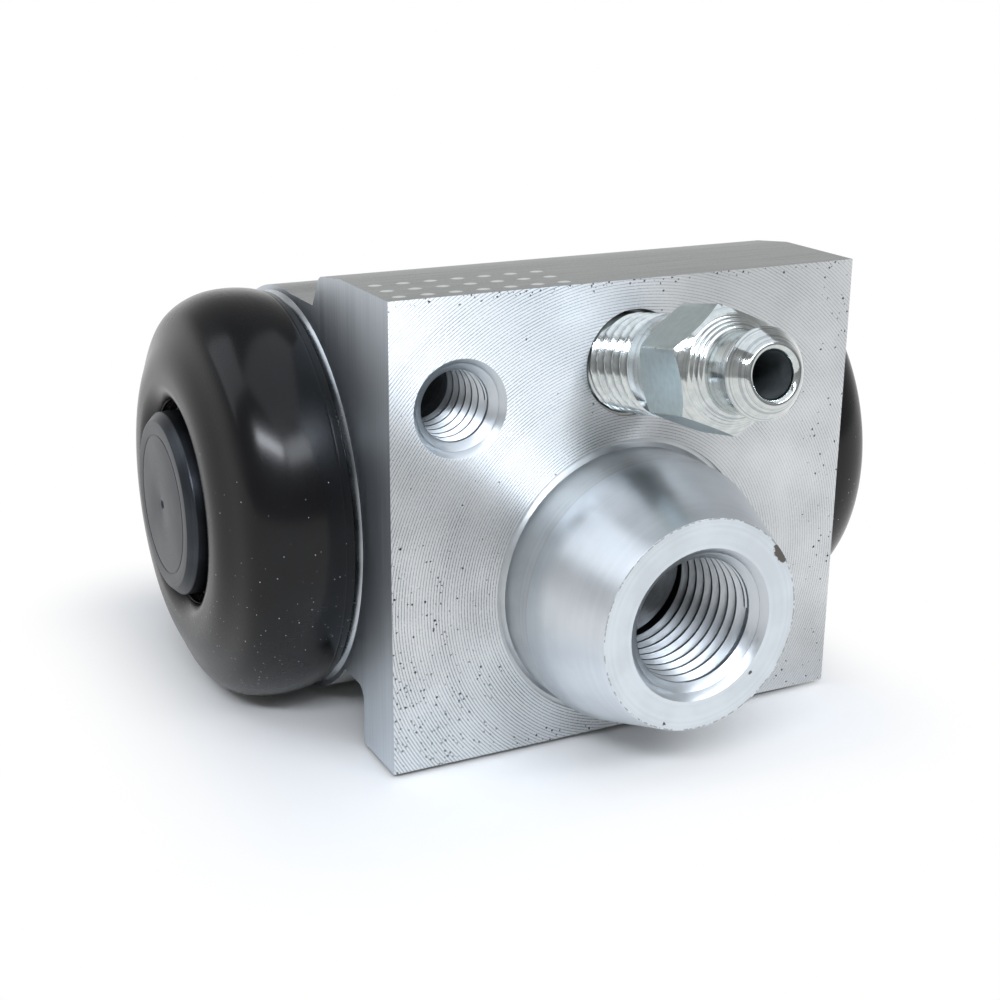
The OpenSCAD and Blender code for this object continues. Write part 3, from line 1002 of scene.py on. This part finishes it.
    def build(self) -> None:
        """Makes the body with rounded edges, its finishes and its two inner threads."""
        mesh = bmesh.new()
        mesh.from_mesh(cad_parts[self.node].data)
        bmesh.ops.remove_doubles(mesh, verts=mesh.verts, dist=1e-7)
        bmesh.ops.dissolve_limit(
            mesh, angle_limit=math.radians(0.2), verts=mesh.verts, edges=mesh.edges, delimit={"NORMAL"}
        )
        corners = [e for e in mesh.edges if e.is_manifold and e.calc_face_angle(0) > math.radians(25)]
        round_edges(mesh, corners, self.edge_round * MM, slide=True)
        mesh.normal_update()
        for face in mesh.faces:
            face.material_index = self.pick(face).value
        bmesh.ops.transform(mesh, matrix=Matrix.Scale(1 / MM, 4), verts=mesh.verts)
        piece = finish_mesh("machined_body", mesh, Matrix.Identity(4), 35)
        dress(piece, self.finishes(), "housing")
        piece.modifiers.new("even_normals", "WEIGHTED_NORMAL").keep_sharp = True
        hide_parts(self.node)
        self.thread("inlet_thread", (0.0, 0.0), self.port_r, self.port_mouth - self.port_bevel, self.port_end)
        self.thread("bolt_thread", self.bolt, self.bolt_r, -self.bolt_bevel, self.bolt_end)

    def thread(self, name: str, centre: Point, radius: float, start: float, end: float) -> None:
        """Makes the countersunk mouth of an inner thread and its ridge, a helix that grows out of the wall.

        Args:
            name: name of the piece.
            centre: X and Z of the hole's axis.
            radius: nominal radius of the thread.
            start: height out of the mounting face at which the hole's bevel ends.
            end: height of the last turn.
        """
        steps, sink, runout, lead, least, soft = 72, 0.04, 0.45, 0.22, 0.02, 0.05
        gap, wide, narrow = (share * self.thread_pitch for share in (0.3, 0.47, 0.09))
        inner, depth = radius - self.thread_depth, self.thread_depth
        mesh = bmesh.new()
        cone = [(radius + sink, start + sink / 2), (inner, start - depth), (inner, start - depth - lead)]
        revolve(mesh, soften(cone + [(radius + sink, start - 2 * depth - lead)], soft), 2 * steps)
        first = start - depth - lead - gap
        turns = (first - end) / self.thread_pitch
        rings = []
        for i in range(round(turns * steps) + 1):
            turn = i / steps
            grown = math.sin(math.pi / 2 * max(least, min(1.0, (turns - turn) / runout)))
            crest = radius - depth * grown
            section = [(radius + sink, -wide), (crest, -narrow), (crest, narrow), (radius + sink, wide)]
            angle, height = TAU * turn, first - turn * self.thread_pitch
            rings.append([Vector((r * math.cos(angle), r * math.sin(angle), height + h)) for r, h in section])
        skin(mesh, rings, caps=True)
        place = Matrix.Translation((centre[0], 0, centre[1])) @ Matrix.Rotation(math.radians(90), 4, "X")
        piece = finish_mesh(name, mesh, place, 25)
        dress(piece, [self.tapped(name)], "housing")


@dataclass(frozen=True)
class Boot:
    """Moulded boot of one side: a shell, built in place, and a sleeve that sits in its neck and moves with the
    piston.
    """

    side: Side
    slot: str = "boot_rubber"
    segments: int = 160
    boot_r: float = 15.42
    draw_in: float = 0.45
    start: float = 18.77
    shoulder: float = 21.45
    nose: float = 27.30
    nose_r: float = 9.0
    mouth_r: float = 7.6
    rim_depth: float = 1.3
    wall: float = 1.7
    skirt_in: float = 13.27
    bead_in: float = 12.37
    bead: Point = (19.25, 20.65)
    lip_r: float = 5.65
    lip: Point = (23.25, 25.15)
    sleeve_r: float = 9.65
    seam: float = 19.4
    crease: float = 22.3
    square: float = 2.3
    valley_depth: float = 0.25
    valley_at: float = 62.0
    valley_reach: float = 24.0
    stretch: Point = (20.5, 26.9)
    throat: float = 1.6
    step: float = 0.2
    sleeve_in: float = 0.9
    sleeve_bevel: float = 0.4
    sleeve_gap: float = 0.02
    soft: float = 0.12

    def finish(self) -> Finish:
        """Rubber of the boots."""
        return MouldedRubber(
            "moulded_black_rubber", "#0a0b0d", "#060608", "#9a9da3", roughness=0.245, grain_mm=0.16,
            grain_depth_mm=0.018, clean=0.2,
        )

    def outside(self) -> list[Point]:
        """Outer outline of the shell, from the skirt's edge over the shoulder to the mouth.

        Returns:
            Radius and distance from the body's middle, for each point.
        """
        steps, line_depth, line_half = 40, 0.035, 0.07
        skirt = []
        for i in range(steps + 1):
            x = self.start + (self.shoulder - self.start) * i / steps
            share = 1 - (x - self.start) / (self.shoulder - self.start)
            off = max(0.0, 1 - abs(x - self.seam) / line_half)
            skirt.append((self.boot_r - self.draw_in * share ** 2 - line_depth * off, x))
        over = []
        power = 2 / self.square
        for i in range(2 * steps + 1):
            t = 90 * i / (2 * steps)
            off = min(1.0, abs(t - self.valley_at) / self.valley_reach)
            dip = self.valley_depth * math.cos(math.pi / 2 * off) ** 2
            across, along = self.boot_r - self.nose_r - dip, self.nose - self.shoulder - dip
            x = self.shoulder + along * math.sin(math.radians(t)) ** power
            mark = line_depth * max(0.0, 1 - abs(x - self.crease) / line_half)
            over.append((self.nose_r + (across - mark) * max(0.0, math.cos(math.radians(t))) ** power, x))
        rim = arc((self.nose_r, self.nose - self.rim_depth), self.mouth_r - self.nose_r, self.rim_depth, 90, 0, 14)
        return skirt + over[1:] + rim[1:]

    def build(self) -> None:
        """Makes the shell and the sleeve of this side's boot."""
        node = f"{self.side.word}_boot"
        inner_across = self.boot_r - self.wall - self.nose_r
        inner_along = self.nose - self.wall - self.shoulder
        inside = arc((self.nose_r, self.shoulder), inner_across, inner_along, 84, 0, 24)
        shell = self.outside() + [(self.mouth_r, self.nose - self.throat)]
        shell += [(self.sleeve_r - self.step, self.nose - self.wall)] + inside
        shell += [(self.skirt_in, self.shoulder), (self.skirt_in, self.bead[1]), (self.bead_in, self.bead[1])]
        shell += [(self.bead_in, self.bead[0]), (self.skirt_in, self.bead[0]), (self.skirt_in, self.start)]
        piece = self.turned(f"{node}_shell", shell)
        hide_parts(node)
        dress(piece, [self.finish()])
        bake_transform(piece)
        inner, front = self.mouth_r + self.sleeve_gap, self.nose - self.sleeve_in
        sleeve = [
            (inner, front), (inner, self.lip[1]), (self.lip_r, self.lip[1]), (self.lip_r, self.lip[0]),
            (self.sleeve_r, self.lip[0]), (self.sleeve_r, front - self.sleeve_bevel),
            (self.sleeve_r - self.sleeve_bevel, front),
        ]
        piece = self.turned(f"{node}_sleeve", sleeve)
        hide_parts(node)
        dress(piece, [self.finish()], self.side.piston_body)

    def turned(self, name: str, outline: list[Point]) -> bpy.types.Object:
        """Piece of this boot, turned from a closed outline.

        Args:
            name: name of the piece.
            outline: radius and distance from the body's middle, for each point.

        Returns:
            The new piece.
        """
        mesh = bmesh.new()
        revolve(mesh, soften(outline, self.soft), self.segments)
        return finish_mesh(name, mesh, BORE.place(self.side), 40)


@dataclass(frozen=True)
class PistonSet:
    """Piston of one side with its cup and expander."""

    side: Side
    segments: int = 144
    head: Point = (12.15, 21.35)
    head_r: float = 10.29
    neck_r: float = 5.6
    disc: Point = (25.35, 28.05)
    disc_r: float = 6.85
    bevel: float = 0.6
    mark_r: float = 0.35
    line_r: float = 5.2
    line_half: float = 0.07
    soft: float = 0.08

    def build(self) -> None:
        """Makes the turned piston and dresses the cup and the expander."""
        back, out = self.disc
        profile = [
            (0.0, self.head[0]), (self.head_r, self.head[0]), (self.head_r, self.head[1]),
            (self.neck_r, self.head[1]), (self.neck_r, back), (self.disc_r, back),
            (self.disc_r, out - self.bevel), (self.disc_r - self.bevel, out),
            (self.line_r + self.line_half, out), (self.line_r, out - self.line_half),
            (self.line_r - self.line_half, out), (self.mark_r, out), (0.0, out - self.mark_r),
        ]
        mesh = bmesh.new()
        revolve(mesh, soften(profile, self.soft, closed=False), self.segments)
        piece = finish_mesh(f"{self.side.word}_turned_piston", mesh, BORE.place(self.side), 28)
        turned = TurnedAluminium(
            "anodised_turned_aluminium", "#464a4f", "#3b3e43", *ABOUT_BORE, roughness=0.38, line_mm=0.2,
            depth_mm=0.002, fan=0.3,
        )
        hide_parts(f"{self.side.word}_piston")
        dress(piece, [turned], self.side.piston_body)
        cup = MouldedRubber(
            "moulded_seal_rubber", "#2a2a2e", "#202023", "#3a3a3e", roughness=0.4, grain_mm=0.12,
            grain_depth_mm=0.006, clean=0.9,
        )
        dress(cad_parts[f"{self.side.word}_cup"], [cup])
        expander = DrawnSteel("pressed_zinc_steel", "#c0bdb2", "#9d9b93", roughness=0.34)
        dress(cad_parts[f"{self.side.word}_expander"], [expander])


@dataclass(frozen=True)
class ReturnSpring:
    """Compression spring between the expanders, in two halves, one for each side."""

    wire: float = 1.0
    coil_r: float = 5.5
    length: float = 19.0
    working_turns: float = 5.0
    closed_pitch: float = 1.1
    sides: int = 14
    steps: int = 48
    lap: float = 0.04
    reach: float = 9.5

    def rise(self, turn: float) -> float:
        """Height of the wire's middle above the middle of the spring after some turns.

        Args:
            turn: turns from the left end.

        Returns:
            The height.
        """
        total = self.working_turns + 2
        open_pitch = (self.length - self.wire - 2 * self.closed_pitch) / self.working_turns
        low = min(turn, 1.0) * self.closed_pitch
        mid = min(max(turn - 1, 0.0), self.working_turns) * open_pitch
        high = max(turn - total + 1, 0.0) * self.closed_pitch
        return low + mid + high - (self.length - self.wire) / 2

    def section(self, turn: float) -> list[Vector]:
        """Ring of points around the wire after some turns.

        Args:
            turn: turns from the left end.

        Returns:
            The ring's points.
        """
        wound, ring = TAU * turn, []
        for j in range(self.sides):
            a = TAU * j / self.sides
            r = self.coil_r + self.wire / 2 * math.cos(a)
            x = self.rise(turn) + self.wire / 2 * math.sin(a)
            ring.append(Vector((x, r * math.sin(wound), -r * math.cos(wound))))
        return ring

    def build(self) -> None:
        """Makes the two halves of the spring."""
        half = (self.working_turns + 2) / 2
        finish = DrawnSteel("drawn_spring_steel", "#9a9da2", "#777a80", roughness=0.3)
        for side, first, last in ((Side.LEFT, 0.0, half + self.lap), (Side.RIGHT, half - self.lap, 2 * half)):
            count = round((last - first) * self.steps)
            mesh = bmesh.new()
            skin(mesh, [self.section(first + (last - first) * i / count) for i in range(count + 1)], caps=True)
            piece = finish_mesh(f"{side.word}_spring_half", mesh, Matrix.Translation(ON_BORE), 40)
            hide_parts("return_spring")
            dress(piece, [finish])
            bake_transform(piece)


class ScrewFinish(Enum):
    """Surfaces of the bleed screw, by the number of their finish."""

    TURNED = 0
    FLAT = 1
    DRILLED = 2
    THREAD = 3


@dataclass(frozen=True)
class BleedScrew:
    """Bleed screw: seat cone, cut thread, bevelled hexagon and barbed hose nipple."""

    node: str = "bleed_screw"
    height: float = 15.82
    tilt: float = 10.0
    segments: int = 144
    screw_r: float = 3.45
    cone: Point = (-11.55, -9.55)
    bore_r: float = 1.45
    bore_end: float = -8.0
    pitch: float = 1.0
    thread_depth: float = 0.58
    thread: Point = (-1.6, 4.95)
    hex_af: float = 7.4
    hex_turn: float = 36.0
    hex_s: Point = (6.9, 11.95)
    under: float = 0.6
    over: float = 0.6
    face_r: float = 3.5
    neck_r: float = 2.65
    neck: Point = (12.85, 15.35)
    barb_r: float = 2.95
    tip_r: float = 2.2
    tip_s: float = 16.5
    tip_bevel: float = 0.25
    drill_tip: float = 0.8
    hex_round: float = 0.05
    thread_step: float = 0.05
    barb_back: Point = (-0.1, 0.02)
    soft: float = 0.16

    def finishes(self) -> list[Finish]:
        """Finishes of the screw, in the order of ScrewFinish.

        Returns:
            One finish for each of ScrewFinish.
        """
        a = math.radians(self.tilt)
        about = {"axis": (0.0, -math.cos(a), math.sin(a)), "through": (0.0, 0.0, self.height)}
        # Radii inside which the cut thread's roots get painted shade.
        root_shade = (self.screw_r - 0.2 * self.thread_depth, self.screw_r - self.thread_depth)
        return [
            PlatedSteel(
                "zinc_plated_turned_steel", "#d2d7d6", "#c4cac9", "#59626e", roughness=0.11, **about,
                line_share=0.35, line_depth_mm=0.005,
            ),
            PlatedSteel(
                "zinc_plated_flat_steel", "#c6d3d4", "#bdcacb", "#8d9797", roughness=0.32, **about,
                line_share=0.1, line_depth_mm=0.0008,
            ),
            DrawnSteel("drilled_oxidised_steel", "#4c5254", "#3d4345", roughness=0.7, metal=0.0),
            # The cut thread's dark tone also paints the shade in its roots.
            PlatedSteel(
                "zinc_plated_cut_thread", "#d6dcdc", "#c6cccc", "#2e3440", roughness=0.12, **about,
                line_share=0.2, line_depth_mm=0.004, root_shade_mm=root_shade,
            ),
        ]

    def thread_r(self, angle: float, s: float) -> float:
        """Radius of the thread at an angle and a place along the screw.

        Args:
            angle: angle about the screw's axis, in radians.
            s: place along the axis.

        Returns:
            The radius.
        """
        start, end = self.thread
        fade_in, fade_out, crest, flank = 0.4, 0.3, 0.14, 0.74
        fade = max(0.0, min(1.0, (s - start) / fade_in, (end - s) / fade_out))
        share = (s / self.pitch - angle / TAU) % 1.0
        off = abs(share - 0.5) * 2
        drop = min(1.0, max(0.0, (off - crest) / flank))
        return self.screw_r - self.thread_depth * fade * drop

    def hexagon_r(self, angle: float) -> float:
        """Radius of the hexagon's side at an angle.

        Args:
            angle: angle about the screw's axis, in radians.

        Returns:
            The radius.
        """
        sixth = TAU / 6
        off = (angle - math.radians(self.hex_turn)) % sixth - sixth / 2
        return self.hex_af / 2 / math.cos(off)

    def nipple(self) -> list[Point]:
        """Radius and place of the turned nipple, from the hexagon's bevel into the drilling.

        Returns:
            Points of the rounded outline.
        """
        top, rings, ring_depth = self.hex_s[1], 4, 0.06
        outline = []
        for i in range(2 * rings + 1):
            t = i / (2 * rings)
            lift = ring_depth * (i % 2)
            radius, s = self.face_r + (self.neck_r - self.face_r) * t, top + (self.neck[0] - top) * t
            outline.append((radius - lift, s - lift))
        outline += [
            (self.neck_r, self.neck[1] + self.barb_back[0]), (self.barb_r, self.neck[1] + self.barb_back[1]),
            (self.tip_r, self.tip_s - self.tip_bevel), (self.tip_r - self.tip_bevel, self.tip_s),
            (self.bore_r + self.tip_bevel, self.tip_s), (self.bore_r, self.tip_s - self.tip_bevel),
            (self.bore_r, self.bore_end),
        ]
        return soften(outline, self.soft, closed=False)

    def build(self) -> None:
        """Makes the screw as one closed mesh."""
        turn = math.radians(self.hex_turn)
        angles = [turn + TAU * j / self.segments for j in range(self.segments)]
        corner = self.hex_af / 2 / math.cos(TAU / 12)
        base, top = self.hex_s
        rings: list[list[Vector]] = [[Vector((0, 0, self.cone[0]))]]

        def ring(radius: Callable[[float], float], s: Callable[[float], float]) -> None:
            """Adds one ring whose radius and place may depend on the angle."""
            rings.append([Vector((radius(a) * math.cos(a), radius(a) * math.sin(a), s(a))) for a in angles])

        for r, s in ((self.bore_r, self.cone[0]), (self.screw_r, self.cone[1])):
            ring(lambda a, r=r: r, lambda a, s=s: s)
        first, last = self.thread
        steps = round((last - first) / self.thread_step)
        for i in range(steps + 1):
            s = first + (last - first) * i / steps
            ring(lambda a, s=s: self.thread_r(a, s), lambda a, s=s: s)
        ring(lambda a: self.screw_r, lambda a: base)
        rise, fall = self.under / (corner - self.screw_r), self.over / (corner - self.face_r)
        flats = len(rings)
        ring(self.hexagon_r, lambda a: base + (self.hexagon_r(a) - self.screw_r) * rise)
        ring(self.hexagon_r, lambda a: top - (self.hexagon_r(a) - self.face_r) * fall)
        for r, s in self.nipple():
            ring(lambda a, r=r: r, lambda a, s=s: s)
        rings.append([Vector((0, 0, self.bore_end - self.drill_tip))])
        mesh = bmesh.new()
        bands = skin(mesh, rings)
        groups = {
            ScrewFinish.THREAD: bands[2:flats - 2], ScrewFinish.FLAT: [bands[flats]],
            ScrewFinish.DRILLED: bands[-2:],
        }
        for finish, group in groups.items():
            for face in (face for band in group for face in band):
                face.material_index = finish.value
        self.bevel_hexagon(mesh, bands[flats])
        piece = finish_mesh("plated_bleed_screw", mesh, self.place(), 32)
        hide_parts(self.node)
        dress(piece, self.finishes(), "bleeder")

    def bevel_hexagon(self, mesh: bmesh.types.BMesh, flats: list) -> None:
        """Rounds the hexagon's edges a little.

        Args:
            mesh: mesh of the screw.
            flats: faces of the hexagon's six sides, in order.
        """
        inside = set(flats)
        per_side = self.segments // 6
        rim = {e for face in flats for e in face.edges if any(f not in inside for f in e.link_faces)}
        starts = range(0, self.segments, per_side)
        corners = {e for i in starts for e in flats[i].edges if flats[i - 1] in e.link_faces}
        round_edges(mesh, list(rim | corners), self.hex_round)

    def place(self) -> Matrix:
        """Matrix that puts the screw's +Z on its axis."""
        return Matrix.Translation((0, 0, self.height)) @ Matrix.Rotation(math.radians(90 - self.tilt), 4, "X")


# Studio


@dataclass(frozen=True)
class PaperFloor(Finish):
    """White seamless paper: matte under the part, where it keeps the shadow, and plain white further out; the
    paper that the camera does not see has painted shade, darker behind the part.
    """

    half_mm: Triple
    fade_mm: float
    painted_shade_y: Point = (-22.0, 28.0)

    def draw(self, tree: Tree) -> Socket:
        """Draws matte paper that turns into a plain white background for the camera and for mirroring surfaces,
        with painted shade that darkens the paper behind the part for the other rays.

        Args:
            tree: the material's nodes.

        Returns:
            Socket of the shader.
        """
        spot = spot_mm(tree)
        past = add(tree, "VectorMath SUBTRACT", [add(tree, "VectorMath ABSOLUTE", [spot]), self.half_mm])
        clear = add(tree, "VectorMath MAXIMUM", [past, (0, 0, 0)])
        reach = add(tree, "VectorMath LENGTH", [clear], "Value")
        share = add(tree, "MapRange SMOOTHSTEP", [reach, 0.0, self.fade_mm])
        seen = add(tree, "LightPath", out="Is Camera Ray")
        shown = seen
        for ray in ("Is Glossy Ray", "Is Transmission Ray"):
            shown = add(tree, "Math MAXIMUM", [shown, seen.node.outputs[ray]])
        # Painted shade: away from the camera the paper darkens from front to back.
        behind = add(tree, "MapRange", [add(tree, "SeparateXYZ", [spot], 1), *self.painted_shade_y])
        painted_shade_paper = add(tree, "Mix RGBA", {0: behind, 6: "#f4f4f4", 7: "#b0b0b0"}, 2)
        paper = add(tree, "Mix RGBA", {0: seen, 6: painted_shade_paper, 7: "#e8e8e8"}, 2)
        matte = add(tree, "BsdfDiffuse", {"Color": paper})
        white = add(tree, "Emission", {"Color": "#ffffff", "Strength": 1.0})
        return add(tree, "MixShader", [add(tree, "Math MULTIPLY", [share, shown]), matte, white])


@dataclass(frozen=True)
class Softbox:
    """One soft daylight lamp, by its place, its size and its power."""

    name: str
    place: Triple
    size: Point
    power: float
    colour: str = "#f1f7ff"

    def build(self, target: Triple) -> None:
        """Hangs the lamp and turns it to its target.

        Args:
            target: point of the part's frame that the lamp looks at.
        """
        data = bpy.data.lights.new(self.name, "AREA")
        data.shape = "RECTANGLE"
        data.size, data.size_y = (s * MM for s in self.size)
        data.energy = self.power
        data.color = linear(self.colour)[:3]
        lamp = bpy.data.objects.new(self.name, data)
        bpy.context.scene.collection.objects.link(lamp)
        lamp.location = Vector(self.place) * MM
        lamp.rotation_euler = (Vector(target) - Vector(self.place)).to_track_quat("-Z", "Y").to_euler()


@dataclass(frozen=True)
class Studio:
    """Paper floor, soft lamps, a white horizon and the camera."""

    eye: Triple = (-57.91, -94.52, 42.86)
    yaw: float = 26.79
    pitch: float = -18.54
    roll: float = 0.442
    lens: float = 59.48
    sensor: float = 36.0
    middle: Triple = (0.0, 5.0, 3.0)
    floor_half: float = 6000.0
    floor_gap: float = 0.02
    paper_at: Point = (-5.0, 17.0)
    paper_half: Triple = (18.0, 20.0, 0.0)
    paper_fade: float = 14.0
    clip: Point = (1.0, 20000.0)

    def lamps(self) -> list[Softbox]:
        """Lamps of the studio: the key at the front left, a strip in front, a box at the left and one overhead.

        Returns:
            The four lamps.
        """
        return [
            Softbox("key_softbox", (-158.0, -212.0, 225.0), (220.0, 36.0), 0.64),
            Softbox("front_strip", (70.0, -250.0, 218.0), (240.0, 76.0), 0.43),
            Softbox("left_softbox", (-264.0, 125.0, 280.0), (260.0, 260.0), 0.29),
            Softbox("overhead_softbox", (40.0, -70.0, 420.0), (500.0, 420.0), 0.62),
        ]

    def build(self) -> None:
        """Builds the studio around the part."""
        scene = bpy.context.scene
        scene.view_settings.view_transform = "Standard"
        self.floor()
        for lamp in self.lamps():
            lamp.build(self.middle)
        self.surroundings(scene)
        data = bpy.data.cameras.new("studio_camera")
        data.lens, data.sensor_width = self.lens, self.sensor
        data.clip_start, data.clip_end = (c * MM for c in self.clip)
        camera = bpy.data.objects.new("studio_camera", data)
        scene.collection.objects.link(camera)
        place = Matrix.Translation(Vector(self.eye) * MM)
        for angle, axis in ((-self.yaw, "Z"), (90 + self.pitch, "X"), (self.roll, "Z")):
            place = place @ Matrix.Rotation(math.radians(angle), 4, axis)
        camera.matrix_world = place
        scene.camera = camera

    def floor(self) -> None:
        """Lays the paper just under the part."""
        low = CAD_BOX[0].z / MM - self.floor_gap
        mesh = bmesh.new()
        half = self.floor_half
        mesh.faces.new([mesh.verts.new((x * half, y * half, 0)) for x, y in ((-1, -1), (1, -1), (1, 1), (-1, 1))])
        sheet = finish_mesh("paper_floor", mesh, Matrix.Identity(4), 30)
        sheet.location = Vector((*self.paper_at, low)) * MM
        paper = PaperFloor("white_seamless_paper", self.paper_half, self.paper_fade)
        sheet.data.materials.append(paper.material())

    def surroundings(self, scene: bpy.types.Scene) -> None:
        """Surrounds the part with a dim room, paler behind the part, which the camera sees as plain white.

        Args:
            scene: scene that gets the world.
        """
        world = bpy.data.worlds.new("dim_studio")
        scene.world = world
        world.use_nodes = True
        tree = world.node_tree
        tree.nodes.clear()
        x = add(tree, "SeparateXYZ", [add(tree, "TexCoord", out="Generated")])
        back, up = x.node.outputs[1], x.node.outputs[2]
        room = add(tree, "MapRange SMOOTHSTEP", [up, 0.3, 0.9, 0.4, 0.29])
        behind = add(tree, "MapRange SMOOTHSTEP", [back, -0.7, 0.95, -0.1, 0.6])
        low = add(tree, "MapRange SMOOTHSTEP", [up, 0.05, 0.5, 1.0, 0.0])
        level = add(tree, "Math MULTIPLY_ADD", [behind, low, room])
        strength = add(tree, "Math MAXIMUM", [level, add(tree, "LightPath", out="Is Camera Ray")])
        light = add(tree, "Background", {"Color": "#ffffff", "Strength": strength})
        add(tree, "OutputWorld", {"Surface": light})


def main() -> None:
    """Builds the sub-assemblies in order, then the studio."""
    logging.basicConfig(level=logging.INFO, format="%(name)s: %(message)s")
    CylinderBody().build()
    for side in Side:
        Boot(side).build()
        PistonSet(side).build()
    ReturnSpring().build()
    BleedScrew().build()
    Studio().build()


if __name__ == "__main__":
    main()
